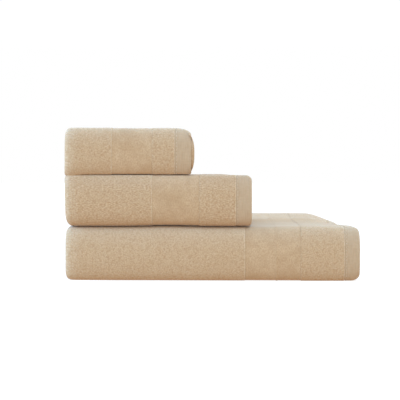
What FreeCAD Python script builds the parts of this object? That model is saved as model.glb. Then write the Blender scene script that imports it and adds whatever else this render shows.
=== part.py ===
import FreeCAD, Part
import os
import Sketcher

# A set of three terry towels, each folded and laid on the next larger one: a bath towel at the
# bottom, a hand towel on it and a guest towel on top. Millimetres; +X runs along the set from the
# folded left ends to the hemmed right ends, +Y runs from the front edge to the back, +Z is up,
# and the origin is at the middle of the space that the set stands on.
#
# Every towel is folded in the same way. First it is folded into quarters across its length, which
# makes four plies: the outermost ply shows the towel's first end, with its woven border, terry
# band and hem, and the ply under it holds the far end, with the same three zones. Then it is
# folded into thirds like a letter: the bottom third, the middle third that is tucked in from the
# back, and the top third that comes round the front and ends in a free edge above the back.

# ---------------------------------------------------------------------------------------------
# Driving sizes
# ---------------------------------------------------------------------------------------------

TOWELS = ("bath", "hand", "guest")

TOWEL_SIZES = {
    # one value for each towel, in the order of TOWELS
    "length": (350.0, 222.0, 150.0),          # a quarter of the cloth's length
    "depth": (250.0, 182.0, 148.0),           # front edge to back edge
    "height": (65.0, 61.0, 56.0),             # twelve plies of cloth
    "hem_width": (18.0, 18.7, 19.5),
    "band_width": (52.0, 44.0, 27.0),         # terry between the hem and the woven border
    "border_width": (66.0, 56.0, 48.0),
    "crease_overhang": (-3.0, -2.5, 4.5),     # how far the inner plies reach past the hem
}

COMMON_SIZES = {
    "towel_gap": 0.3,             # clearance between one towel and the next
    "third_gap": 0.6,             # clearance between the thirds of a folded towel
    "inner_fold_radius": 3.0,     # of the third ply, where it goes round the front
    "left_round": 7.0,            # rounding of the folded left end
    "right_round": 2.0,           # rounding of the hemmed right end
    "border_recess": 0.8,         # the woven border has no pile, so it lies lower than the terry
    "hem_recess": 1.2,            # and so does a hem
    "far_end_setback": 3.0,       # the far end stops short of the first end's hem
    "thread_rise": 0.5,
    "seam_width": 1.6,
    "seam_setback": 2.0,          # from a hem's inner edge to its row of stitches
    "side_hem_width": 12.0,
    "free_edge_setback": 6.0,     # from the back edge to the free edge of the top third
}

Vec = FreeCAD.Vector

doc = FreeCAD.newDocument("TowelSet")
sizes = doc.addObject("Spreadsheet::Sheet", "Sizes")


def fill_sheet():
    rows = dict(COMMON_SIZES)
    for name, values in TOWEL_SIZES.items():
        for towel, value in zip(TOWELS, values):
            rows[towel + "_" + name] = value
    for row, (alias, value) in enumerate(rows.items(), start=1):
        sizes.set("A%d" % row, alias)
        sizes.set("B%d" % row, str(value))
        sizes.setAlias("B%d" % row, alias)
    doc.recompute()


def cell(alias):
    return "Sizes." + alias


def value_of(expression):
    """The number that an expression on the sheet's cells gives."""
    result = sizes.evalExpression(expression)
    return float(getattr(result, "Value", result))


fill_sheet()

# ---------------------------------------------------------------------------------------------
# The folded section. Each towel's own x, y and z start at the left end, front edge and underside
# of the folded towel, and the bodies' placements carry them to their place in the set.
# ---------------------------------------------------------------------------------------------


class Folded:
    """Expressions for the places along and across one folded towel."""

    def __init__(self, towel):
        self.towel = towel
        self.length = cell(towel + "_length")
        self.crease = "(%s + %s)" % (self.length, cell(towel + "_crease_overhang"))
        self.hem_start = "(%s - %s)" % (self.length, cell(towel + "_hem_width"))
        self.band_start = "(%s - %s)" % (self.hem_start, cell(towel + "_band_width"))
        self.border_start = "(%s - %s)" % (self.band_start, cell(towel + "_border_width"))
        self.seam_start = "(%s + %s)" % (self.hem_start, cell("seam_setback"))
        self.far_end = "(%s - %s)" % (self.length, cell("far_end_setback"))

        self.height = cell(towel + "_height")
        self.third = "(%s / 3)" % self.height
        self.ply = "(%s / 12)" % self.height
        self.fold = "(2 * %s + %s)" % (self.ply, cell("inner_fold_radius"))
        self.back_fold = "(%s - %s)" % (cell(towel + "_depth"), self.third)
        self.free_edge = "(%s - %s)" % (cell(towel + "_depth"), cell("free_edge_setback"))
        self.top_end = "(%s - %s)" % (self.free_edge, cell("side_hem_width"))
        self.tuck = "(%s + %s)" % (self.third, cell("third_gap"))
        self.middle_end = "(%s + %s)" % (self.tuck, cell("side_hem_width"))
        self.top_low = "(2 * %s + %s)" % (self.third, cell("third_gap"))
        self.middle_low = "(%s + %s / 2)" % (self.third, cell("third_gap"))

    def under(self):
        """The height of the towel's underside over what the set stands on."""
        terms = ["0"]
        for lower in TOWELS[:TOWELS.index(self.towel)]:
            terms.append("%s + %s" % (cell(lower + "_height"), cell("towel_gap")))
        return " + ".join(terms)

    def outside(self, depth):
        """The outline at a depth below the outer face: back along the top third's face from its
        side hem, round the front, along the underside, round the back fold and forward over the
        middle third to its side hem. A corner is (y, z, y of the centre of the arc before it)."""
        high = "%s - %s" % (self.height, depth)
        return [
            (self.top_end, high, None),
            (self.fold, high, None),
            (depth, "%s - %s" % (self.height, self.fold), self.fold),
            (depth, self.fold, None),
            (self.fold, depth, self.fold),
            (self.back_fold, depth, None),
            (self.back_fold, "2 * %s - %s" % (self.third, depth), self.back_fold),
            (self.middle_end, "2 * %s - %s" % (self.third, depth), None),
        ]

    def ply_outline(self, outer, inner):
        """One ply, between two depths: out along the outer face and back along the inner."""
        there = self.outside(outer)
        back = self.outside(inner)
        centres = [centre for y, z, centre in back]
        turned = []
        for index in range(len(back) - 1, -1, -1):
            y, z, centre = back[index]
            following = centres[index + 1] if index + 1 < len(back) else None
            turned.append((y, z, following))
        return there + turned

    def core_outline(self, outer):
        """Everything below a depth, with the slots between the thirds."""
        slot = "%s - %s / 2" % (self.third, cell("third_gap"))
        return self.outside(outer) + [
            (self.middle_end, self.middle_low, None),
            (self.back_fold, self.middle_low, None),
            (self.back_fold, slot, self.back_fold),
            (self.third, slot, None),
            (self.third, self.top_low, None),
            (self.top_end, self.top_low, None),
        ]


# ---------------------------------------------------------------------------------------------
# Bodies, sketches and pads
# ---------------------------------------------------------------------------------------------

subparts = []


def new_body(folded, name):
    """A body for one sub-part, placed where its towel lies in the set. All the towels are flush
    at the left end and at the front."""
    body = doc.addObject("PartDesign::Body", folded.towel + "_" + name)
    body.Label = folded.towel + "_" + name
    body.setExpression(".Placement.Base.x", "-%s / 2" % cell("bath_length"))
    body.setExpression(".Placement.Base.y", "-%s / 2" % cell("bath_depth"))
    body.setExpression(".Placement.Base.z", folded.under())
    subparts.append(body)
    return body


def arc_between(first, last, centre_y):
    """An arc round a centre whose y is given: a quarter round a corner, or the half turn of the
    back fold, which bulges backwards."""
    if abs(first.x - last.x) < 1e-6:
        radius = abs(first.y - last.y) / 2
        middle = Vec(centre_y + radius, (first.y + last.y) / 2, 0)
    else:
        centre_z = first.y if abs(last.x - centre_y) < 1e-6 else last.y
        centre = Vec(centre_y, centre_z, 0)
        bisector = (first - centre) + (last - centre)
        middle = centre + bisector.normalize() * (first - centre).Length
    return Part.Arc(first, middle, last)


def vertex_at(sketch, index, corner):
    """Which end of a sketch's line or arc is at a corner."""
    start = (sketch.getPoint(index, 1) - corner).Length
    end = (sketch.getPoint(index, 2) - corner).Length
    return 1 if start < end else 2


def bind(sketch, kind, index, vertex, expression):
    """Hold one coordinate of a point at the value of an expression."""
    made = sketch.addConstraint(
        Sketcher.Constraint(kind, -1, 1, index, vertex, value_of(expression)))
    sketch.setExpression("Constraints[%d]" % made, expression)


def draw_outline(body, name, outline, start):
    """A closed outline across the towel, at a distance along it from the left end."""
    sketch = body.newObject("Sketcher::SketchObject", name + "_section")
    plane = next(item for item in body.Origin.OriginFeatures if item.Role == "YZ_Plane")
    sketch.AttachmentSupport = (plane, [""])
    sketch.MapMode = "FlatFace"
    sketch.setExpression(".AttachmentOffset.Base.z", start)
    corners = [Vec(value_of(y), value_of(z), 0) for y, z, centre in outline]
    count = len(corners)
    for index in range(count):
        following = (index + 1) % count
        centre = outline[following][2]
        if centre is None:
            side = Part.LineSegment(corners[index], corners[following])
        else:
            side = arc_between(corners[index], corners[following], value_of(centre))
        sketch.addGeometry(side, False)
    for index in range(count):
        before = (index - 1) % count
        y, z, centre = outline[index]
        vertex = vertex_at(sketch, index, corners[index])
        joined = vertex_at(sketch, before, corners[index])
        sketch.addConstraint(Sketcher.Constraint("Coincident", before, joined, index, vertex))
        bind(sketch, "DistanceX", index, vertex, y)
        bind(sketch, "DistanceY", index, vertex, z)
        if centre is not None:
            bind(sketch, "DistanceX", before, 3, centre)
    return sketch


def pad_outline(body, name, outline, start, end):
    pad = body.newObject("PartDesign::Pad", body.Label + "_" + name)
    pad.Profile = draw_outline(body, body.Label + "_" + name, outline, start)
    pad.setExpression("Length", "%s - %s" % (end, start))
    doc.recompute()
    return pad


def box_outline(front, back, low, high):
    return [(front, low, None), (back, low, None), (back, high, None), (front, high, None)]


def round_end(body, pad, at, radius):
    """Round the outer edges of one end of a pad: those at x = at that lie on the outer face."""
    end = value_of(at)
    edges = []
    for number, edge in enumerate(pad.Shape.Edges, start=1):
        box = edge.BoundBox
        if box.XLength < 1e-6 and abs(box.XMin - end) < 1e-6 and is_outer(body, pad, edge):
            edges.append("Edge%d" % number)
    fillet = body.newObject("PartDesign::Fillet", body.Label + "_round")
    fillet.Base = (pad, edges)
    fillet.setExpression("Radius", radius)
    doc.recompute()


def is_outer(body, pad, edge):
    """True for an edge on the underside, the front or the top of the folded towel."""
    whole = pad.Shape.BoundBox
    box = edge.BoundBox
    on_top = abs(box.ZMax - whole.ZMax) < 1e-6
    on_bottom = abs(box.ZMin - whole.ZMin) < 1e-6
    on_front = abs(box.YMin - whole.YMin) < 1e-6
    return on_top or on_bottom or on_front


# ---------------------------------------------------------------------------------------------
# The sub-parts of one towel
# ---------------------------------------------------------------------------------------------


def terry_field(folded):
    """The pile cloth itself: every ply from the folded left end to the woven borders, and from
    there to the right crease only the two inner plies."""
    body = new_body(folded, "terry_field")
    pad = pad_outline(body, "plies", folded.core_outline("0"), "0", folded.border_start)
    round_end(body, pad, "0", cell("left_round"))
    inner = folded.core_outline("2 * %s" % folded.ply)
    pad_outline(body, "inner_plies", inner, folded.border_start, folded.crease)


def end_zone(folded, name, first_ply, recess, start, end):
    """One zone of an end of the towel, on the outermost ply or the ply under it."""
    body = new_body(folded, name)
    outer = "(%s * %s + %s)" % (first_ply, folded.ply, recess)
    inner = "(%s * %s + %s)" % (first_ply, folded.ply, folded.ply)
    return body, pad_outline(body, "ply", folded.ply_outline(outer, inner), start, end)


def end_seam(folded, name, first_ply):
    """The row of stitches that holds the turned-in end hem."""
    body = new_body(folded, name)
    inner = "(%s * %s + %s)" % (first_ply, folded.ply, cell("hem_recess"))
    outer = "(%s - %s)" % (inner, cell("thread_rise"))
    end = "(%s + %s)" % (folded.seam_start, cell("seam_width"))
    pad_outline(body, "thread", folded.ply_outline(outer, inner), folded.seam_start, end)


def first_end(folded):
    """The end of the towel that shows on the outermost ply."""
    end_zone(folded, "woven_border", 0, cell("border_recess"),
             folded.border_start, folded.band_start)
    end_zone(folded, "terry_band", 0, "0", folded.band_start, folded.hem_start)
    body, pad = end_zone(folded, "end_hem", 0, cell("hem_recess"),
                         folded.hem_start, folded.length)
    round_end(body, pad, folded.length, cell("right_round"))
    end_seam(folded, "end_seam", 0)


def far_end(folded):
    """The other end of the towel, on the ply under the first end."""
    end_zone(folded, "far_border", 1, cell("border_recess"),
             folded.border_start, folded.band_start)
    end_zone(folded, "far_band", 1, "0", folded.band_start, folded.hem_start)
    end_zone(folded, "far_hem", 1, cell("hem_recess"), folded.hem_start, folded.far_end)
    end_seam(folded, "far_seam", 1)


def side_hem(folded, name, front, back, low, high):
    """A long side's hem, four plies deep, with the row of stitches along it."""
    start = cell("left_round")
    end = folded.far_end
    top = "(%s - %s)" % (high, cell("hem_recess"))
    body = new_body(folded, name + "_side_hem")
    pad_outline(body, "plies", box_outline(front, back, low, top), start, end)
    seam = new_body(folded, name + "_side_seam")
    seam_front = "(%s + %s)" % (front, cell("seam_setback"))
    seam_back = "(%s + %s)" % (seam_front, cell("seam_width"))
    seam_top = "(%s + %s)" % (top, cell("thread_rise"))
    pad_outline(seam, "thread", box_outline(seam_front, seam_back, top, seam_top), start, end)


def side_hems(folded):
    """The hem along the free edge of the top third, which shows at the back, and the one along
    the free edge of the middle third, which lies inside the front fold."""
    side_hem(folded, "rear", folded.top_end, folded.free_edge, folded.top_low, folded.height)
    side_hem(folded, "inner", folded.tuck, folded.middle_end, folded.middle_low,
             "(2 * %s)" % folded.third)


for towel in TOWELS:
    folded_towel = Folded(towel)
    terry_field(folded_towel)
    first_end(folded_towel)
    far_end(folded_towel)
    side_hems(folded_towel)

# ---------------------------------------------------------------------------------------------
# Check everything, then write one file for each sub-part
# ---------------------------------------------------------------------------------------------

doc.recompute()

for item in doc.Objects:
    if "Invalid" in item.State or "Error" in item.State:
        raise RuntimeError("%s did not recompute: %s" % (item.Label, item.State))

for body in subparts:
    shape = body.Shape
    if shape.isNull() or not shape.isValid() or len(shape.Solids) != 1:
        raise RuntimeError("%s is not one valid solid" % body.Label)

os.makedirs("parts", exist_ok=True)
for body in subparts:
    body.Shape.exportStep("parts/%s.step" % body.Label)

print("wrote %d sub-parts" % len(subparts))
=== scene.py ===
# %% [markdown]
# # A folded bath towel set
#
# The set is a bath towel, a hand towel and a guest towel of the same beige terry cloth, folded alike and
# laid on one another. Each towel is folded in quarters across its length and then in thirds like a letter,
# so what shows is the outermost ply: looped terry, a smooth woven border, a band of terry and a stitched
# hem.
#
# Every piece here is made the way the real one is. Its cloth is first laid out flat, at the size it was
# woven, and its stitches are sewn while it is flat. Then every point is carried round the folds, and last
# the folded towel settles a little under its own weight. First comes the frame, which says where each piece
# belongs.

# %% Load the frame
import math

import bmesh
import bpy
import numpy as np
from mathutils import Matrix, Vector


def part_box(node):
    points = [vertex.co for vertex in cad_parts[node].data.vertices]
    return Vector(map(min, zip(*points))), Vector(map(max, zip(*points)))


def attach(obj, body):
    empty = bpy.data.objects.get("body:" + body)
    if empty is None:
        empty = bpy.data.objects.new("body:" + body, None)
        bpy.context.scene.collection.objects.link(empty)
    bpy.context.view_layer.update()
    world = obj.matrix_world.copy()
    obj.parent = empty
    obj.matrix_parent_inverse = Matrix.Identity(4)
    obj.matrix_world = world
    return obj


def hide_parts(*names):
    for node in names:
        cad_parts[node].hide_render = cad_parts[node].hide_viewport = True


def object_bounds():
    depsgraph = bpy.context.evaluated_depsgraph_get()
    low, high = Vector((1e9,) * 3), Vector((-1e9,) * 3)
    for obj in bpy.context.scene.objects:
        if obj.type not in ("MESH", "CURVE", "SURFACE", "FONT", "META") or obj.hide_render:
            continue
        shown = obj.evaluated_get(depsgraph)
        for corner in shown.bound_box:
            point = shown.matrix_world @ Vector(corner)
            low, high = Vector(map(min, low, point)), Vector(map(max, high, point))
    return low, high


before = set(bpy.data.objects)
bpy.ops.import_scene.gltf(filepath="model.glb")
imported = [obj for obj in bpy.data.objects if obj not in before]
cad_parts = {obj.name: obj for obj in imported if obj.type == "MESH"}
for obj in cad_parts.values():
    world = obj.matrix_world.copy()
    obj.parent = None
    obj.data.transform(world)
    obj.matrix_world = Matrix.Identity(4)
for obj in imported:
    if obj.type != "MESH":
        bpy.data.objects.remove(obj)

MM = 0.001
TOWELS = ("bath", "hand", "guest")
cad_low, cad_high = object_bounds()
print("overall size:", [round(size, 4) for size in cad_high - cad_low])

# %% [markdown]
# ## The sizes of each towel
#
# All sizes come from the frame's boxes: the ends, the front and back edges and the zones of the weave.
# Twelve plies make a towel's height, so a third of the height is one turn of the letter fold, four plies
# deep. Only what a box can't tell, such as how far a weave's thickness fills its ply, is a value of its own
# here.


# %% Read one towel's sizes
class Towel:
    """The sizes of one folded towel, in metres, and how its cloth differs from the others': how wide it was
    woven, how drawn out its rows of loops are, and the seed of their unevenness."""

    def __init__(self, name, cloth_width, loop_stretch, seed):
        self.name = name
        self.body = name + "_towel"
        self.cloth_width = cloth_width
        self.loop_stretch = loop_stretch
        self.seed = seed
        low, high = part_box(name + "_terry_field")
        self.left, self.front, self.low = low
        self.back, self.high = high.y, high.z
        self.crease = high.x
        self.hem_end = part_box(name + "_end_hem")[1].x
        self.far_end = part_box(name + "_far_hem")[1].x
        self.free_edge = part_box(name + "_rear_side_hem")[1].y
        self.side_hem_width = self.free_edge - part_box(name + "_rear_side_hem")[0].y
        self.border_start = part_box(name + "_woven_border")[0].x
        self.band_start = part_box(name + "_terry_band")[0].x
        self.hem_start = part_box(name + "_end_hem")[0].x
        self.seam_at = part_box(name + "_end_seam")[0].x
        self.third = (self.high - self.low) / 3
        self.ply = self.third / 4


set_of = {
    "bath": Towel("bath", 0.700, 1.2, 11),
    "hand": Towel("hand", 0.500, 2.6, 23),
    "guest": Towel("guest", 0.400, 1.6, 37),
}
for towel in set_of.values():
    print(towel.name, "third", round(towel.third / MM, 2), "mm, ply", round(towel.ply / MM, 2), "mm")

# %% [markdown]
# ## The fold across the length
#
# Seen from the front edge, the cloth starts at the hem, runs left along the outermost ply, turns round the
# left end into the fourth ply, comes back from the right crease as the third, turns inside the left end and
# ends as the second ply under the first. This path gives, for any distance along the cloth, how far right
# it lies and how deep below the outer face, and which way is outwards.


# %% Follow the cloth along its length
TURN_REACH = 0.75       # how far a pressed turn reaches, as a share of its radius
TURN_POINTS = 22        # points along one half turn
END_BULGE = 2.8 * MM    # how far the folded left end stands out past its box


def half_turn(x, start_depth, end_depth, side, squareness):
    """Points of a half turn, to the left for side -1 or the right for 1, and the outward direction at each.
    A turn pressed flat by what lies on it reaches less far than a round one, and has squarer corners."""
    angle = np.linspace(0, math.pi, TURN_POINTS)
    radius = abs(end_depth - start_depth) / 2
    points = np.stack([x + side * TURN_REACH * radius * np.sin(angle) ** squareness,
                       start_depth + (end_depth - start_depth) * (1 - np.cos(angle)) / 2], 1)
    tangents = np.gradient(points, axis=0)
    tangents[0], tangents[-1] = (side, 0), (-side, 0)
    tangents /= np.linalg.norm(tangents, axis=1)[:, None]
    return points, np.stack([-tangents[:, 1], tangents[:, 0]], 1)


class LengthPath:
    """From distance along the cloth to x and depth below the outer face, for a round left end and for one
    pressed square, and anything between."""

    ROUND = 0.8
    SQUARE = 0.18

    def __init__(self, towel):
        self.lines = [self.line(towel, squareness) for squareness in (self.ROUND, self.SQUARE)]
        points = self.lines[0][0]
        steps = np.linalg.norm(np.diff(points, axis=0), axis=1)
        self.at = np.concatenate([[0], np.cumsum(steps)])
        self.length = float(self.at[-1])
        self.turn_end = float(self.at[TURN_POINTS])
        self.crease_start = float(self.at[TURN_POINTS + 1])
        self.crease_end = float(self.at[2 * TURN_POINTS])

    @staticmethod
    def line(towel, squareness):
        ply = towel.ply
        turn_x = towel.left - END_BULGE + (0.5 + 1.5 * TURN_REACH) * ply
        inner_x = turn_x + 0.3 * ply
        crease_x = towel.crease - (0.5 + 0.5 * TURN_REACH) * ply
        parts = (
            (np.array([[towel.hem_end, 0.5 * ply]]), np.array([[0.0, -1.0]])),
            half_turn(turn_x, 0.5 * ply, 3.5 * ply, -1, squareness),
            half_turn(crease_x, 3.5 * ply, 2.5 * ply, 1, 1),
            half_turn(inner_x, 2.5 * ply, 1.5 * ply, -1, 1),
            (np.array([[towel.far_end, 1.5 * ply]]), np.array([[0.0, 1.0]])),
        )
        return [np.concatenate([part[kind] for part in parts]) for kind in (0, 1)]

    def place(self, along, lift, squared):
        """squared, from 0 to 1, is how far the left end is pressed square at each point."""
        placed = []
        for points, normals in self.lines:
            values = [np.interp(along, self.at, column) for column in (*points.T, *normals.T)]
            placed.append((values[0] + lift * values[2], values[1] + lift * values[3]))
        (x, depth), (square_x, square_depth) = placed
        return x + squared * (square_x - x), depth + squared * (square_depth - depth)


for towel in set_of.values():
    towel.path = LengthPath(towel)
    print(towel.name, "cloth is", round(towel.path.length, 3), "m long and", towel.cloth_width, "m wide")

# %% [markdown]
# ## The letter fold across the width
#
# Seen from the right end, the four plies run as one thick band: forward over the top third, down the
# rounded front, back along the underside, up round the back and forward again as the tucked middle third.
# The front is a superellipse, flatter than a half circle, because the towels press one another flat. Its
# power says how square each corner is, and differs where two towels meet. A ply deeper in the band takes a
# tighter way round, so the band's line is worked out for many depths and looked up between them.


# %% Follow the band across the width
# How square the front's upper and lower corners are, and the same near the left end, where the folds are
# pressed harder.
FRONT_POWER = {"bath": (7, 16), "hand": (30, 8), "guest": (7, 22)}
PRESSED_POWER = {"bath": (7, 16), "hand": (60, 8), "guest": (7, 60)}


class WidthPath:
    """From a fraction of the cloth's width, counted from the free back edge of the top third, and a depth
    below the outer face, to y and z."""

    DEPTHS = 33
    STEPS = 900
    FRONT_ROOM = 4 * MM     # how much longer than a third the front's curve is
    FREE_EDGE_IN = 6 * MM   # how far the outermost ply's free edge lies in from the hem's

    def __init__(self, towel, power_above, power_below):
        self.towel = towel
        self.power_above = power_above
        self.power_below = power_below
        self.depths = np.linspace(-2 * MM, towel.third, self.DEPTHS)
        outer = self.runs(towel.ply / 2)
        lengths = [self.lengths_of(run)[-1] for run in outer]
        self.length = sum(lengths)
        self.marks = np.concatenate([[0], np.cumsum(lengths)]) / self.length
        self.fractions = np.linspace(0, 1, self.STEPS)
        self.table = np.stack([self.line_at(depth) for depth in self.depths])

    @staticmethod
    def lengths_of(run):
        steps = np.linalg.norm(np.diff(run, axis=0), axis=1)
        return np.concatenate([[0], np.cumsum(steps)])

    def runs(self, depth):
        """The five runs of the band at one depth: top, front, underside, back fold and middle."""
        towel = self.towel
        third = towel.third
        round_y = towel.front + third + self.FRONT_ROOM
        back_y = towel.back - third
        inner = depth / third
        stagger = self.FREE_EDGE_IN * inner
        height = 3 * third - 2 * depth
        angle = np.linspace(math.pi / 2, -math.pi / 2, 121)
        power = 2 / np.where(angle > 0, self.power_above, self.power_below)
        across = (round_y - towel.front - depth) * np.abs(np.cos(angle)) ** power
        up = height / 2 * np.sign(np.sin(angle)) * np.abs(np.sin(angle)) ** power
        front = np.stack([round_y - across, 1.5 * third + up], 1)
        turn = np.linspace(0, math.pi, 61)
        radius = third - depth
        back = np.stack([back_y + radius * np.sin(turn), third - radius * np.cos(turn)], 1)
        top = np.array([[towel.free_edge - self.FREE_EDGE_IN + stagger, 3 * third - depth], front[0]])
        underside = np.array([front[-1], back[0]])
        middle = np.array([back[-1], [towel.front + third + 2 * MM, 2 * third - depth]])
        return [top, front, underside, back, middle]

    def line_at(self, depth):
        line = np.empty((self.STEPS, 2))
        for run, start, stop in zip(self.runs(depth), self.marks[:-1], self.marks[1:]):
            inside = (self.fractions >= start) & (self.fractions <= stop)
            lengths = self.lengths_of(run)
            wanted = (self.fractions[inside] - start) / (stop - start) * lengths[-1]
            for axis in (0, 1):
                line[inside, axis] = np.interp(wanted, lengths, run[:, axis])
        return line

    def place(self, fraction, depth):
        column = np.clip(fraction, 0, 1) * (self.STEPS - 1)
        row = np.clip(depth, self.depths[0], self.depths[-1]) - self.depths[0]
        row = row / (self.depths[1] - self.depths[0])
        column_low = np.minimum(column.astype(int), self.STEPS - 2)
        row_low = np.minimum(row.astype(int), self.DEPTHS - 2)
        across = (column - column_low)[:, None]
        down = (row - row_low)[:, None]
        upper = self.table[row_low, column_low] * (1 - across) + self.table[row_low, column_low + 1] * across
        lower = (self.table[row_low + 1, column_low] * (1 - across)
                 + self.table[row_low + 1, column_low + 1] * across)
        placed = upper * (1 - down) + lower * down
        return placed[:, 0], placed[:, 1]


for towel in set_of.values():
    towel.band = WidthPath(towel, *FRONT_POWER[towel.name])
    towel.pressed_band = WidthPath(towel, *PRESSED_POWER[towel.name])
    print(towel.name, "outer ply is", round(towel.band.length, 3), "m round")

# %% [markdown]
# ## Settling
#
# A folded towel is not a box. Its hemmed end has less pile in it, so its back sinks there; its ends round
# off; its front bows in above and below; and the whole stack is a little uneven. A cloth simulation could
# find this, but twelve tight plies are slow to simulate and tend to slip through one another. So these are
# smooth moves of the whole towel: plies that lie on each other stay that way, and the unevenness is one
# field that all three towels share.


# %% Smooth noise and steps
def smoothstep(low, high, value):
    """0 up to low and 1 from high on, or the other way when low is above high, with a smooth rise."""
    share = np.clip((value - low) / (high - low), 0, 1)
    return share * share * (3 - 2 * share)


class Unevenness:
    """Smooth noise with a repeating lattice of random values, about one bump per unit of its input."""

    SIDE = 32

    def __init__(self, seed):
        self.lattice = np.random.default_rng(seed).random((self.SIDE,) * 3)

    def __call__(self, x, y, z):
        """Values from -1 to 1."""
        total = np.zeros(np.broadcast(x, y, z).shape)
        corners = [np.floor(axis).astype(int) for axis in (x, y, z)]
        shares = []
        for axis, corner in zip((x, y, z), corners):
            share = axis - corner
            shares.append(share * share * (3 - 2 * share))
        for i in (0, 1):
            for j in (0, 1):
                for k in (0, 1):
                    weight = 1.0
                    for share, step in zip(shares, (i, j, k)):
                        weight = weight * (share if step else 1 - share)
                    spot = tuple((corner + step) % self.SIDE for corner, step in zip(corners, (i, j, k)))
                    total = total + weight * self.lattice[spot]
        return 2 * total - 1


shared_unevenness = Unevenness(5)
loop_unevenness = Unevenness(8)


# %% How far each towel settles
# A pair is for the upper and the lower half of the towel.
END_DROP = {"bath": (6 * MM, 8 * MM), "hand": (6.5 * MM, 4 * MM), "guest": (8 * MM, 1.5 * MM)}
END_ROUND = {"bath": (8 * MM, 10 * MM), "hand": (8 * MM, 5 * MM), "guest": (17 * MM, 5 * MM)}
TURN_DROP = {"bath": (4 * MM, 4 * MM), "hand": (0, 6 * MM), "guest": (1.5 * MM, -1.2 * MM)}
TURN_ROUND = {"bath": 8 * MM, "hand": 9 * MM, "guest": 8 * MM}
FRONT_BOW = {"bath": (5.5 * MM, 2 * MM), "hand": (3 * MM, 5 * MM), "guest": (5 * MM, 3 * MM)}
TURN_BOW = 4.5 * MM
TURN_BOW_LENGTH = 18 * MM
RESTS_LOWER = {"bath": 0, "hand": 0.3 * MM, "guest": 0.3 * MM}
LEFT_END_LOWER = {"bath": 0, "hand": 0, "guest": 1.5 * MM}
BACK_SINK = {"bath": 14 * MM, "hand": 5 * MM, "guest": 3 * MM}
BACK_RISE = {"bath": 4.5 * MM, "hand": 0, "guest": 0}
BACK_TAPER = {"bath": 0, "hand": 0, "guest": 6.5 * MM}
LUMP_WIDTH = 55 * MM
FRONT_LUMP = 0.8 * MM
TOP_LUMP = 0.9 * MM
CREASE_ROUND = 9 * MM


# %% Let a folded towel settle
def quarter_round(share):
    """How far a round corner drops, for a share from 0 where it starts to 1 at its end."""
    return 1 - np.sqrt(1 - np.clip(share, 0, 1) ** 2)


def settle(towel, x, y, z):
    """Move points of the folded towel to where they settle."""
    name = towel.name
    height = 3 * towel.third
    up = z / height
    inwards = (y - towel.front) / (towel.back - towel.front)
    upper, lower = np.clip(2 * up - 1, 0, 1), np.clip(1 - 2 * up, 0, 1)

    # The hemmed end rounds off, and the crease behind it opens.
    (top_drop, bottom_drop), (top_round, bottom_round) = END_DROP[name], END_ROUND[name]
    dropped = z - top_drop * upper * quarter_round((x - towel.hem_end) / top_round + 1)
    dropped = dropped + bottom_drop * lower * quarter_round((x - towel.hem_end) / bottom_round + 1)
    if towel.crease > towel.hem_end:
        x, y, dropped = flare_crease(towel, x, y, z, dropped, height)
    z = dropped

    # The front bows in, but not where two towels are pressed together at the left end.
    pressed = smoothstep(towel.left + 22 * MM, towel.left + 6 * MM, x)
    held = {"bath": 0, "hand": up > 0.5, "guest": up < 0.5}[name]
    bow = np.where(up > 0.5, *FRONT_BOW[name]) * (1 - pressed * held)
    near_turn = np.clip((towel.left - x) / TURN_BOW_LENGTH + 1, 0, None)
    y = y + (bow * (2 * up - 1) ** 2 + TURN_BOW * near_turn ** 2) * np.clip(1 - 2 * inwards, 0, 1)

    # The folded left end rounds off, and the towel rests on the one below.
    turn_drop = quarter_round((towel.left - END_BULGE - x) / TURN_ROUND[name] + 1)
    above, below = TURN_DROP[name]
    z = z + turn_drop * (below * np.clip(1 - 2 * up, 0, 1) - above * np.clip(2 * up - 1, 0, 1))
    near_left = smoothstep(towel.left + 24 * MM, towel.left + 6 * MM, x)
    z = z - (RESTS_LOWER[name] + LEFT_END_LOWER[name] * near_left) * (1 - up)

    # The back sinks over the thin hemmed end, and rises a little where nothing lies on it.
    sink = smoothstep(towel.band_start + 22 * MM, towel.hem_end + 6 * MM, x)
    z = z - BACK_SINK[name] * up * sink * smoothstep(0.02, 0.75, inwards)
    z = z + BACK_RISE[name] * up * smoothstep(0.72, 0.92, inwards)

    world_z = z + towel.low
    lump = shared_unevenness(x / LUMP_WIDTH, y / LUMP_WIDTH, world_z / LUMP_WIDTH)
    low_lump = shared_unevenness(x / LUMP_WIDTH + 9, y / LUMP_WIDTH + 4, world_z / LUMP_WIDTH + 13)
    off_floor = smoothstep(0, 20 * MM, world_z)
    x = x - BACK_TAPER[name] * inwards * (x - towel.left) / (towel.hem_end - towel.left)
    y = y + FRONT_LUMP * lump
    world_z = world_z + TOP_LUMP * low_lump * off_floor
    return x, y, world_z


# %% Open the crease that stands out
def flare_crease(towel, x, y, z, dropped, height):
    """The crease of the inner plies stands out past the hem, where nothing presses it, and opens."""
    free = smoothstep(towel.hem_end - 8 * MM, towel.hem_end + 1 * MM, x)
    depth_in = y - towel.front
    nearest_face = np.minimum(np.minimum(z, height - z), depth_in)
    free = free * smoothstep(1.6 * towel.ply, 2.6 * towel.ply, nearest_face)
    opened = 0.45 * height + (z - 0.5 * height) * 1.5
    near_front = smoothstep(0.45, 0.15, depth_in / (towel.back - towel.front))
    rounded = CREASE_ROUND * np.abs(2 * opened / height - 0.9) ** 3
    return x - free * rounded, y - free * near_front * 0.9 * depth_in, dropped + free * (opened - dropped)


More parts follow.
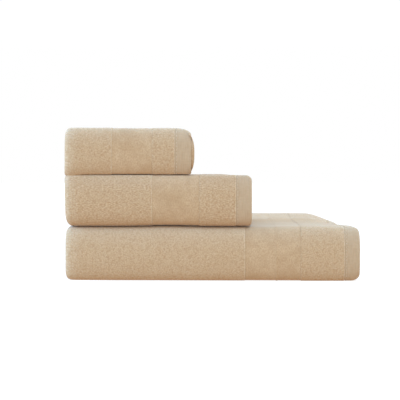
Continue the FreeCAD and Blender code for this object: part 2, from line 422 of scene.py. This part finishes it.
# %% From the flat cloth to the folded towel
def fold_and_settle(towel, along, across, lift):
    """From the flat cloth to the folded and settled towel. The place on the cloth is a distance along from
    the first end's edge, a distance across from the free back edge, and a height over its middle."""
    fraction = across / towel.cloth_width
    marks = towel.band.marks
    over_front = smoothstep(marks[1], marks[2], fraction)
    squared = {"bath": 0.6,
               "hand": 1 - over_front,
               "guest": over_front * (fraction < marks[3])}[towel.name]
    x, depth = towel.path.place(along, lift, squared)
    free_y, free_z = towel.band.place(fraction, depth)
    pressed_y, pressed_z = towel.pressed_band.place(fraction, depth)
    pressed = smoothstep(towel.left + 26 * MM, towel.left + 8 * MM, x)
    y = free_y + pressed * (pressed_y - free_y)
    z = free_z + pressed * (pressed_z - free_z)
    return settle(towel, x, y, z)


print("front edge of the bath towel lies at", np.round(fold_and_settle(
    set_of["bath"], np.array([0.1]), np.array([0.3]), np.array([0.0])), 4).ravel())

# %% [markdown]
# ## Writing shader maths
#
# Patterns are sums and products of a few textures. Their nodes could be added one by one, but plain
# expressions are easier to read. A small class holds one output socket and turns each operator into a Math
# node; another adds the nodes of one finish. Colours go through Mix nodes.


# %% A number over the surface
class Value:
    """A number that varies over the surface, as an output socket of a material's nodes."""

    def __init__(self, finish, socket):
        self.finish = finish
        self.socket = socket

    def _math(self, operation, *values):
        return self.finish.node("ShaderNodeMath", dict(operation=operation), *values)

    def __add__(self, other):
        return self._math("ADD", self, other)

    __radd__ = __add__

    def __mul__(self, other):
        return self._math("MULTIPLY", self, other)

    __rmul__ = __mul__

    def __sub__(self, other):
        return self._math("SUBTRACT", self, other)

    def __rsub__(self, other):
        return self._math("SUBTRACT", other, self)

    def __pow__(self, other):
        return self._math("POWER", self, other)

    def clamped(self):
        return self.finish.node("ShaderNodeMath", dict(operation="ADD", use_clamp=True), self, 0.0)


# %% A finish under construction
class Finish:
    """The nodes of a material or of the sky, one method that adds any node, and the shader they feed."""

    def __init__(self, block, shader_type="BSDF_PRINCIPLED"):
        block.use_nodes = True
        self.block = block
        self.tree = block.node_tree
        self.shader = next(node for node in self.tree.nodes if node.type == shader_type)

    def node(self, kind, settings=None, *values, output=0, **named):
        """Add a node with its settings, then link or set the sockets in use, by order or by name."""
        made = self.tree.nodes.new(kind)
        for key, setting in (settings or {}).items():
            setattr(made, key, setting)
        inputs, outputs = [[socket for socket in sockets if socket.enabled]
                           for sockets in (made.inputs, made.outputs)]
        for socket, value in list(zip(inputs, values)) + [
                (made.inputs[key], value) for key, value in named.items()]:
            if isinstance(value, Value):
                self.tree.links.new(value.socket, socket)
            else:
                socket.default_value = value
        return Value(self, outputs[output])

    def connect(self, value, socket_name):
        self.tree.links.new(value.socket, self.shader.inputs[socket_name])

    def flat_place(self):
        """Where a point lies on the flat cloth: x along it and y across it, in metres."""
        return self.node("ShaderNodeUVMap", dict(uv_map="cloth"))

    def stretched(self, place, along, across):
        return self.node("ShaderNodeMapping", dict(vector_type="POINT"), Vector=place,
                         Scale=(along, across, 1.0))

    def noise(self, place, scale, detail=2.0, roughness=0.5):
        return self.node("ShaderNodeTexNoise", dict(noise_dimensions="3D"), Vector=place, Scale=scale,
                         Detail=detail, Roughness=roughness)

    def mixed(self, share, first, second):
        """A colour between two colours."""
        return self.node("ShaderNodeMix", dict(data_type="RGBA"), share, first, second)

    def bump(self, height, strength, distance):
        return self.node("ShaderNodeBump", {}, Height=height, Strength=strength, Distance=distance)

    def with_painted_light(self, body):
        """The cloth's colour with painted light: a painted highlight, paler and greyer, over the top, and
        painted shade, deeper and warmer, along the bottom of the front and under it.
        """
        lay = self.node("ShaderNodeAttribute", dict(attribute_name="lay"), output=2)
        # A painted highlight: paler and greyer over the top, where the light from above falls.
        raised = ((lay * 0.9 + 0.1).clamped() ** 1.6) * 0.48
        # Painted shade: deeper and warmer along the bottom of the front and under it.
        painted_shade = ((lay * -1.0).clamped() ** 3.2) * 0.75
        return self.mixed(painted_shade, self.mixed(raised, body, PAINTED_TOP_LIGHT), PAINTED_UNDER_SHADE)

    def soft(self):
        """Light spreads a few millimetres inside the cotton, and comes out warmer."""
        self.shader.inputs["Subsurface Weight"].default_value = 0.12
        self.shader.inputs["Subsurface Radius"].default_value = (1.0, 0.6, 0.35)
        self.shader.inputs["Subsurface Scale"].default_value = 2.5 * MM

    def sheen(self, weight, roughness, tint):
        self.shader.inputs["Sheen Weight"].default_value = weight
        self.shader.inputs["Sheen Roughness"].default_value = roughness
        self.shader.inputs["Sheen Tint"].default_value = tint


# %% Colours
def shade(red, green, blue):
    """A colour given as the 0 to 255 values of a paint chart, made linear."""
    def linear(part):
        part = part / 255
        return part / 12.92 if part <= 0.04045 else ((part + 0.055) / 1.055) ** 2.4
    return (linear(red), linear(green), linear(blue), 1.0)


FUZZ = shade(248, 240, 228)
# A painted highlight for the tops, and painted shade under the fronts.
PAINTED_TOP_LIGHT = shade(210, 202, 190)
PAINTED_UNDER_SHADE = shade(150, 100, 54)
TERRY_DARK = shade(202, 173, 140)
TERRY_LIGHT = shade(210, 184, 152)
TERRY_DEEP = shade(172, 136, 99)
# A painted highlight along the terry's edge next to the border, where the pile's edge catches the light.
PAINTED_EDGE_HIGHLIGHT = shade(222, 200, 172)


# %% [markdown]
# ## Terry
#
# Terry is woven with cotton loops standing on both its faces. The loops could be hair, but hundreds of
# thousands of them would be slow and would hide the folds. From where a towel is seen they are a fine grain,
# so cells and noise colour it, darker between the loops, and a small bump gives it relief. All scales are
# per metre of flat cloth, so the grain is the same on every towel and follows every fold. Light and shade
# are painted into the cloth's colour as well: a painted highlight makes it paler and greyer over the top of
# the front, and painted shade makes it deeper and warmer along the bottom of the front and under it.


# %% Terry
def terry_finish(name, row_share):
    """Loops less than two millimetres apart. With row_share near 1 they stand in wavering rows."""
    finish = Finish(bpy.data.materials.new(name))
    place = finish.flat_place()
    nap = finish.node("ShaderNodeAttribute", dict(attribute_name="nap"), output=2)
    cells = finish.stretched(place, 680.0 - 250.0 * row_share, 650.0)
    loop = finish.node("ShaderNodeTexVoronoi", dict(feature="F1"), Vector=cells, Scale=1.0, Randomness=0.8)
    grain = finish.noise(place, 1300.0, 0.0)
    row = finish.noise(finish.stretched(place, 420.0, 1000.0), 1.0, 0.0)
    patch = finish.noise(place, 45.0, 2.0)
    depth = loop * (0.7 - 0.4 * row_share) + grain * 0.5 + row * (0.3 + 0.9 * row_share)
    shadow = (depth * 1.15 + nap * 0.2 - 0.5 - 0.2 * row_share).clamped()
    body = finish.mixed(patch, TERRY_DARK, TERRY_LIGHT)
    body = finish.mixed(shadow, body, TERRY_DEEP)
    # Painted highlight along the terry's edge, where the attribute is below 0.
    body = finish.mixed((nap * -0.8).clamped(), body, PAINTED_EDGE_HIGHLIGHT)
    finish.connect(finish.with_painted_light(body), "Base Color")
    finish.connect(finish.bump(1 - depth, 0.4, 0.0006), "Normal")
    finish.shader.inputs["Roughness"].default_value = 0.95
    finish.shader.inputs["Specular IOR Level"].default_value = 0.1
    finish.sheen(0.5, 0.35, FUZZ)
    finish.soft()
    return finish.block


# %% [markdown]
# ## Woven border, hem and thread
#
# The border has no loops: it is smooth, softly mottled and a little darker. The hem is flat cloth turned in,
# so its yarns show as fine lines both ways. Each could be a picture of cloth, but noise stretched along one
# yarn or the other needs no picture and never repeats. The thread is smoother than the cloth and shines more.


# %% Woven border
def border_finish():
    finish = Finish(bpy.data.materials.new("woven border"))
    place = finish.flat_place()
    weft = finish.noise(finish.stretched(place, 900.0, 420.0), 1.0, 1.0)
    fine = finish.noise(place, 650.0, 0.0)
    mottle = finish.noise(place, 110.0, 3.0, 0.6) * 0.55 + finish.noise(place, 32.0, 1.0) * 0.45
    body = finish.mixed(((mottle - 0.5) * 3.6 + 0.5).clamped(), shade(185, 153, 118), shade(201, 171, 137))
    shadow = (fine + weft - 0.75).clamped()
    finish.connect(finish.with_painted_light(finish.mixed(shadow, body, shade(172, 136, 98))), "Base Color")
    finish.connect(finish.bump(weft + fine, 0.35, 0.0004), "Normal")
    finish.shader.inputs["Roughness"].default_value = 0.85
    finish.shader.inputs["Specular IOR Level"].default_value = 0.2
    finish.sheen(0.5, 0.35, FUZZ)
    finish.soft()
    return finish.block


# %% Flat hem
def hem_finish():
    finish = Finish(bpy.data.materials.new("flat hem"))
    place = finish.flat_place()
    ribs = finish.noise(finish.stretched(place, 1100.0, 90.0), 1.0, 1.0)
    cross = finish.noise(finish.stretched(place, 120.0, 900.0), 1.0, 1.0)
    weave = ribs * 0.65 + cross * 0.35
    body = finish.mixed(weave, shade(166, 137, 105), shade(203, 176, 146))
    finish.connect(finish.with_painted_light(body), "Base Color")
    finish.connect(finish.bump(weave, 0.5, 0.0005), "Normal")
    finish.shader.inputs["Roughness"].default_value = 0.85
    finish.shader.inputs["Specular IOR Level"].default_value = 0.2
    finish.sheen(0.45, 0.35, FUZZ)
    finish.soft()
    return finish.block


# %% Cotton thread
def thread_finish():
    finish = Finish(bpy.data.materials.new("cotton thread"))
    twist = finish.noise(finish.stretched(finish.flat_place(), 1500.0, 1500.0), 1.0, 1.0)
    body = finish.mixed(twist, shade(192, 167, 136), shade(208, 185, 156))
    finish.connect(finish.with_painted_light(body), "Base Color")
    finish.shader.inputs["Roughness"].default_value = 0.6
    finish.sheen(0.2, 0.4, FUZZ)
    return finish.block


terry = {name: terry_finish(name + " terry", share) for name, share in
         (("bath", 0.1), ("hand", 0.8), ("guest", 0.3))}
woven = border_finish()
flat_weave = hem_finish()
cotton = thread_finish()
print("finishes:", [finish.name for finish in (*terry.values(), woven, flat_weave, cotton)])

# %% [markdown]
# ## The weaves
#
# On the real towel the loops make the terry thicker than the border and the hem, so these lie a little lower.
# The steps could be separate sheets of different thickness, but it is one cloth. So a weave only says how far
# its face lies below that of the terry, how its loops and edges are made and which finish it has.


# %% The kinds of cloth
BORDER_RECESS = 0.5 * MM
HEM_RECESS = 0.35 * MM
RIB_HEIGHT = 0.5 * MM


class Weave:
    """How one kind of cloth is made. seams are (place, depth) pairs: a groove, or a rib if below 0."""

    def __init__(self, material, slot, recess, edge_round, loop_depth=0.0, loop_size=0.0, seams=(),
                 painted_highlight_edge=False):
        self.material = material
        self.slot = slot
        self.recess = recess
        self.loop_depth = loop_depth
        self.loop_size = loop_size
        self.edge_round = edge_round
        self.seams = seams
        self.painted_highlight_edge = painted_highlight_edge


pile = {name: Weave(terry[name], "terry", 0, loop_depth=0.22 * MM, loop_size=1.3 * MM,
                    edge_round=0.6 * MM, painted_highlight_edge=True) for name in TOWELS}


def border_weave(rib):
    """The bath towel's border has one raised rib along it."""
    seams = [(rib, -RIB_HEIGHT)] if rib else []
    return Weave(woven, "woven_border", BORDER_RECESS, edge_round=0.15 * MM, seams=seams)


def hem_weave(seams):
    return Weave(flat_weave, "hem", HEM_RECESS, edge_round=0.6 * MM, seams=seams)


# %% [markdown]
# ## Cloth, laid out flat
#
# A piece of cloth starts as one flat grid that is extruded into a thin slab, so it is closed and has a
# face, a back and edges. The grid's lines are closer together where the cloth will show or turn. While the
# slab is still flat its face gets its loops, its edges are rounded and its place on the cloth is kept as a
# UV map, in metres. Then the slab is carried round the folds.


# %% Spacing of the grid's lines
def spaced(stops, steps, edge=1.6 * MM):
    """Places from the first stop to the last, with a step for each stretch and a few more at both ends."""
    places = []
    for start, stop, step in zip(stops[:-1], stops[1:], steps):
        count = max(1, round((stop - start) / step))
        places.extend(np.linspace(start, stop, count, endpoint=False))
    places = np.array(places + [stops[-1]])
    ends = np.array([0.15, 0.4, 1]) * edge
    places = np.concatenate([places, stops[0] + ends, stops[-1] - ends])
    places = np.unique(np.round(places, 6))
    keep = np.concatenate([[True], np.diff(places) > 0.12 * MM])
    return places[keep]


def rows_of(towel):
    """Places across the cloth: close together round the front, wide apart where the fold hides them."""
    marks = towel.band.marks * towel.cloth_width
    scale = towel.cloth_width / towel.band.length
    reach = 16 * MM
    stops = [towel.side_hem_width, marks[1] - reach, marks[2] + reach, marks[3], marks[4],
             towel.cloth_width - towel.side_hem_width]
    steps = [2.6 * MM, 1.2 * MM, 9 * MM, 3 * MM, 12 * MM]
    return spaced(stops, [step * scale for step in steps])


def coarse_rows(towel):
    """The same for the inner plies, which are hidden, unless their crease stands out past the hem."""
    marks = towel.band.marks * towel.cloth_width
    stops = [towel.side_hem_width, marks[1], marks[2], marks[3], marks[4],
             towel.cloth_width - towel.side_hem_width]
    free_crease = towel.crease > towel.hem_end
    flat, front = (4 * MM, 1.2 * MM) if free_crease else (12 * MM, 2.5 * MM)
    return spaced(stops, [flat, front, flat, 2.5 * MM, 12 * MM])


# %% Round edges and loops
def rounding(distance, radius):
    """How far a rounded edge lies below the face, as a share of its radius, at a distance in from it."""
    inside = np.clip(1 - distance / radius, 0, 1)
    return 1 - np.sqrt(1 - inside ** 2)


def loops(towel, along, across, size):
    """The looped face: small bumps in wavering rows, from 0 at the tops to 1 in the creases."""
    stretch = towel.loop_stretch
    bend = 0.8 * loop_unevenness(along / (9 * MM), across / (9 * MM), towel.seed)
    rows = loop_unevenness(along / (size * stretch), across / size + bend, towel.seed + 0.5)
    single = loop_unevenness(along / size, across / size, towel.seed + 3.5)
    broad = loop_unevenness(along / (7 * MM), across / (5 * MM), towel.seed + 6.5)
    return np.clip(0.5 + 0.3 * rows + 0.3 * single + 0.06 * broad, 0, 1)


# %% Lay out a flat slab
def laid_out(name, columns, rows):
    """A flat closed slab on those columns and rows, with its back at z 0 and its face at z 1."""
    across, up = len(columns) - 1, len(rows) - 1
    shape = bmesh.new()
    bmesh.ops.create_grid(shape, x_segments=across, y_segments=up, size=0.5)
    raised = bmesh.ops.extrude_face_region(shape, geom=shape.faces[:])
    corners = [part for part in raised["geom"] if isinstance(part, bmesh.types.BMVert)]
    bmesh.ops.translate(shape, verts=corners, vec=(0, 0, 1))
    mesh = bpy.data.meshes.new(name)
    shape.to_mesh(mesh)
    shape.free()
    spots = np.empty(len(mesh.vertices) * 3)
    mesh.vertices.foreach_get("co", spots)
    spots = spots.reshape(-1, 3)
    column = np.rint((spots[:, 0] + 0.5) * across).astype(int)
    row = np.rint((spots[:, 1] + 0.5) * up).astype(int)
    return mesh, columns[column], rows[row], spots[:, 2] > 0.5


# %% Where light and shade are painted
def painted_light_of(towel, across):
    """How much light or shade is painted on: up to 1 for a painted highlight over the top of the front, and
    -1 for painted shade under the front.
    """
    marks = towel.band.marks
    lower_edge = marks[2] - (towel.third + WidthPath.FRONT_ROOM) / towel.band.length
    near, past = lower_edge - 5 * MM / towel.band.length, lower_edge + 7 * MM / towel.band.length
    # Painted highlight up to 0.9 at the top front corner, painted shade down to -1 just past the lower edge.
    places = [0, 0.5 * marks[1], marks[1], near, past, marks[2] + 0.06, marks[3]]
    return np.interp(across / towel.cloth_width, places, [0.1, 0.5, 0.9, -0.6, -1, -0.3, 0])


# %% Fold a piece and hand it over
def finish_piece(towel, mesh, along, across, lift, nap, material, nodes):
    """Keep the flat places as UVs, fold the mesh, and hand it over as a piece of the set."""
    corner_vertex = np.empty(len(mesh.loops), dtype=int)
    mesh.loops.foreach_get("vertex_index", corner_vertex)
    flat = np.stack([along, across], 1)[corner_vertex]
    mesh.uv_layers.new(name="cloth").uv.foreach_set("vector", flat.astype(np.float32).ravel())
    # Loop depth, with the painted edge highlight below 0.
    mesh.attributes.new("nap", "FLOAT", "POINT").data.foreach_set("value", nap.astype(np.float32))
    # How much painted light or shade each point gets, kept as an attribute for the finishes.
    lay = painted_light_of(towel, across)
    mesh.attributes.new("lay", "FLOAT", "POINT").data.foreach_set("value", lay.astype(np.float32))
    folded = np.stack(fold_and_settle(towel, along, across, lift), 1)
    mesh.vertices.foreach_set("co", folded.astype(np.float32).ravel())
    mesh.polygons.foreach_set("use_smooth", np.ones(len(mesh.polygons), dtype=bool))
    mesh.update()
    piece = bpy.data.objects.new(mesh.name, mesh)
    bpy.context.scene.collection.objects.link(piece)
    mesh.materials.append(material)
    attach(piece, towel.body)
    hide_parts(*nodes)
    return piece


# %% Make one zone of cloth
# Width of the painted highlight along the terry's edge.
PAINTED_HIGHLIGHT_WIDTH = 1.1 * MM
SEAM_WIDTH = 0.9 * MM


def cloth(towel, name, columns, rows, weave, nodes):
    """One zone of the towel's cloth. weave says how thick it is and how its face is made."""
    mesh, along, across, is_face = laid_out(towel.name + "_" + name + "_cloth", columns, rows)
    from_end = np.minimum(along - columns[0], columns[-1] - along)
    from_side = np.minimum(across - rows[0], rows[-1] - across)
    half = towel.ply / 2 - weave.recess
    nap = np.zeros(len(along))
    if weave.loop_depth:
        # Where light or shade is painted strongest, the loops' relief is kept lower.
        shown = 1 - np.abs(painted_light_of(towel, across)) ** 4
        nap = 0.5 + (0.25 + 0.75 * shown) * (loops(towel, along, across, weave.loop_size) - 0.5)
    lowered = weave.loop_depth * nap
    # A painted highlight, about a millimetre wide, along the terry's edge next to the border.
    if weave.painted_highlight_edge:
        nap = nap - 1.1 * np.exp(-((along - columns[0]) / PAINTED_HIGHLIGHT_WIDTH) ** 2) * is_face
    lowered = lowered + weave.edge_round * np.maximum(
        rounding(from_end, weave.edge_round), rounding(from_side, weave.edge_round))
    for place, depth in weave.seams:
        lowered = lowered + depth * np.exp(-((along - place) / SEAM_WIDTH) ** 2)
    lift = np.where(is_face, half - lowered, lowered - half)
    piece = finish_piece(towel, mesh, along, across, lift, nap, weave.material, nodes)
    print(piece.name, len(mesh.polygons), "faces")
    return piece


# %% [markdown]
# ## Thread
#
# Each hem is held by a row of lockstitches. One stitch is a small rounded bar lying on the hem's face, a
# few millimetres long. The first is a squashed sphere, and a spin with no angle copies it along the row.
# The rows are sewn on the flat cloth as well, so they follow it round every fold.


# %% Sew a row of stitches
STITCH_LENGTH = 2.5 * MM
STITCH_PITCH = 3.2 * MM
THREAD = 0.7 * MM
SEAM_FROM_HEM = 3 * MM
SIDE_SEAM_SUNK = 0.2 * MM


def row_of_stitches(towel, name, start, end, lift, node):
    """Stitches from one flat place to another, both (along, across), at a height over the cloth's middle."""
    start, end = Vector((*start, lift)), Vector((*end, lift))
    count = int((end - start).length / STITCH_PITCH)
    step = (end - start) / count
    long_x = STITCH_LENGTH if abs(step.x) > abs(step.y) else THREAD
    long_y = THREAD if abs(step.x) > abs(step.y) else STITCH_LENGTH
    shape = bmesh.new()
    first = Matrix.LocRotScale(start + step / 2, None, Vector((long_x, long_y, THREAD)) / 2)
    bmesh.ops.create_uvsphere(shape, u_segments=6, v_segments=4, radius=1, matrix=first)
    bmesh.ops.spin(shape, geom=shape.faces[:], axis=(0, 0, 1), angle=0, dvec=step, steps=count - 1,
                   use_duplicate=True)
    mesh = bpy.data.meshes.new(towel.name + "_" + name + "_stitches")
    shape.to_mesh(mesh)
    shape.free()
    spots = np.empty(len(mesh.vertices) * 3)
    mesh.vertices.foreach_get("co", spots)
    along, across, height = spots.reshape(-1, 3).T
    piece = finish_piece(towel, mesh, along, across, height, np.zeros(len(along)), cotton, [node])
    print(piece.name, count, "stitches", len(mesh.polygons), "faces")
    return piece


# %% [markdown]
# ## Weaving, sewing and folding the three towels
#
# One function makes any of the three towels, zone by zone: the outermost ply with its border, band and hem,
# the inner plies with the far end's, and the hems along both sides. Only what shows gets fine rows of
# loops.


# %% Make one towel
CREASE_MARGIN = 14 * MM
RIB_PLACE = 0.43        # from the band towards the border's far edge
SEAM_GROOVE = 0.1 * MM


def make_towel(towel):
    """Make the cloth pieces and the rows of stitches of one towel."""
    name = towel.name
    length = towel.path.length
    hem = towel.hem_end - towel.hem_start
    band = towel.hem_end - towel.band_start
    border_end = towel.hem_end - towel.border_start
    seam = towel.hem_end - towel.seam_at
    rib = band + RIB_PLACE * (border_end - band) if name == "bath" else None
    rows, hidden = rows_of(towel), coarse_rows(towel)

    field = spaced([border_end, towel.path.turn_end], [1.5 * MM])
    cloth(towel, "outer_ply", field, rows, pile[name], [name + "_terry_field"])
    stops = [towel.path.turn_end, towel.path.crease_start - CREASE_MARGIN,
             towel.path.crease_end + CREASE_MARGIN, length - border_end]
    inner = np.unique(np.concatenate([
        spaced(stops, [10 * MM, 1.5 * MM, 10 * MM]),
        [place for place in towel.path.at if stops[0] < place < stops[-1]]]))
    cloth(towel, "inner_plies", inner, hidden, pile[name], [name + "_terry_field"])

    first_end = (
        ("end_hem", 0, hem, hem_weave([(seam, SEAM_GROOVE)]), 1.2 * MM),
        ("terry_band", hem, band, pile[name], 1.5 * MM),
        ("woven_border", band, border_end, border_weave(rib), 1.2 * MM),
    )
    for zone, start, stop, weave, step in first_end:
        cloth(towel, zone, spaced([start, stop], [step]), rows, weave, [name + "_" + zone])
    far_end = (
        ("far_hem", 0, hem, hem_weave([(length - seam, SEAM_GROOVE)])),
        ("far_band", hem, band, pile[name]),
        ("far_border", band, border_end, border_weave(None)),
    )
    for zone, start, stop, weave in far_end:
        columns = spaced([length - stop, length - start], [4 * MM])
        cloth(towel, zone, columns, hidden, weave, [name + "_" + zone])

    side = towel.side_hem_width
    turns = [place for place in towel.path.at if 0 < place < length]
    long_way = np.unique(np.concatenate([spaced([0, length], [5 * MM]), turns]))
    width = towel.cloth_width
    for zone, start, stop in (("rear_side_hem", 0, side), ("inner_side_hem", width - side, width)):
        strip = spaced([start, stop], [2.5 * MM])
        cloth(towel, zone, long_way, strip, hem_weave([]), [name + "_" + zone])

    top = towel.ply / 2 - HEM_RECESS
    for zone, place in (("end_seam", seam), ("far_seam", length - seam)):
        row_of_stitches(towel, zone, (place, side), (place, width - side), top, name + "_" + zone)
    inset = SEAM_FROM_HEM
    for zone, place in (("rear_side_seam", side - inset), ("inner_side_seam", width - side + inset)):
        row_of_stitches(towel, zone, (inset, place), (length - inset, place), top - SIDE_SEAM_SUNK,
                        name + "_" + zone)


for towel in set_of.values():
    make_towel(towel)

# %% [markdown]
# ## Floor and light
#
# The floor is plain and white, and glows a little, so that no shadow darkens it. A pale sky lights
# everything softly. One wide lamp overhead and a little in front gives the tops much of their brightness, and
# one from the left picks out the folded ends; the rest of the tops' paleness is a painted highlight in the
# cloth's colour. Both lamps are bluish, because beige cloth takes up most of the blue.


# %% Floor
FLOOR_SIZE = 6
FLOOR_GREY = (0.35, 0.35, 0.35, 1)
FLOOR_GLOW = 0.76


def make_floor():
    shape = bmesh.new()
    bmesh.ops.create_grid(shape, x_segments=1, y_segments=1, size=FLOOR_SIZE)
    mesh = bpy.data.meshes.new("floor")
    shape.to_mesh(mesh)
    shape.free()
    floor = bpy.data.objects.new("floor", mesh)
    bpy.context.scene.collection.objects.link(floor)
    paint = Finish(bpy.data.materials.new("floor paint"))
    paint.shader.inputs["Base Color"].default_value = FLOOR_GREY
    paint.shader.inputs["Roughness"].default_value = 1.0
    paint.shader.inputs["Specular IOR Level"].default_value = 0.0
    paint.shader.inputs["Emission Color"].default_value = (1, 1, 1, 1)
    paint.shader.inputs["Emission Strength"].default_value = FLOOR_GLOW
    mesh.materials.append(paint.block)
    print("floor is", 2 * FLOOR_SIZE, "m wide")


make_floor()


# %% Sky
SKY_FRONT = 0.5
SKY_ABOVE = 0.5
FRONT_TINT = (1.0, 0.94, 0.86, 1)
ABOVE_TINT = (0.78, 0.9, 1.0, 1)


def make_sky():
    """White behind the set, dimmer and warmer in front of it, and brighter and cooler overhead."""
    sky = Finish(bpy.data.worlds.new("sky"), "BACKGROUND")
    direction = sky.node("ShaderNodeTexCoord")
    sideways, backwards, upwards = [
        sky.node("ShaderNodeSeparateXYZ", {}, direction, output=axis) for axis in range(3)]
    behind = (backwards * 1.6 + 0.4).clamped()
    to_sides = (sideways * -0.5).clamped() + (sideways * 0.6).clamped()
    overhead = (upwards * 1.3 - 0.15).clamped()
    around = (behind * (1 - SKY_FRONT) + SKY_FRONT + to_sides).clamped()
    sky.connect(around + overhead * SKY_ABOVE, "Strength")
    sides = sky.mixed(behind, FRONT_TINT, (1, 1, 1, 1))
    sky.connect(sky.mixed(overhead, sides, ABOVE_TINT), "Color")
    bpy.context.scene.world = sky.block


make_sky()


# %% Lamps
def make_lamp(name, place, target, size, watts, tint):
    light = bpy.data.lights.new(name, "AREA")
    light.shape = "SQUARE"
    light.size = size
    light.energy = watts
    light.color = tint
    lamp = bpy.data.objects.new(name, light)
    lamp.location = place
    lamp.rotation_euler = (Vector(target) - Vector(place)).to_track_quat("-Z", "Y").to_euler()
    bpy.context.scene.collection.objects.link(lamp)
    print(name, "lamp,", watts, "W")


middle = (cad_low + cad_high) / 2
make_lamp("overhead", (0.45, -0.5, 1.5), middle, 1.2, 13, (0.45, 0.72, 1.0))
make_lamp("left", (-1.4, -0.1, 0.6), middle, 0.8, 26, (0.28, 0.58, 1.0))

# %% [markdown]
# ## Camera
#
# The set is seen from the front and a little above, so that each top shows as a thin band. With a longer lens
# from further away the tops would all but vanish, and from nearer the outlines would lean. So the camera
# stands a little over a metre in front, and looks slightly down and to the left.

# %% Camera
DISTANCE = 1.15         # from the front of the bath towel, a little above the stack's middle
VIEW_WIDTH = 0.4736     # how much is seen from side to side at that distance
CAMERA_PLACE = (0.190, 0.138)
AIM_PLACE = (0.1604, 0.0965)
front = set_of["bath"].front
left = set_of["bath"].left
camera_data = bpy.data.cameras.new("camera")
camera_data.sensor_width = 36
camera_data.lens = camera_data.sensor_width * DISTANCE / VIEW_WIDTH
camera = bpy.data.objects.new("camera", camera_data)
camera.location = (left + CAMERA_PLACE[0], front - DISTANCE, CAMERA_PLACE[1])
aim = Vector((left + AIM_PLACE[0], front, AIM_PLACE[1]))
camera.rotation_euler = (aim - camera.location).to_track_quat("-Z", "Y").to_euler()
bpy.context.scene.collection.objects.link(camera)
bpy.context.scene.camera = camera
bpy.context.scene.view_settings.view_transform = "Standard"
print("lens", round(camera_data.lens, 1), "mm")
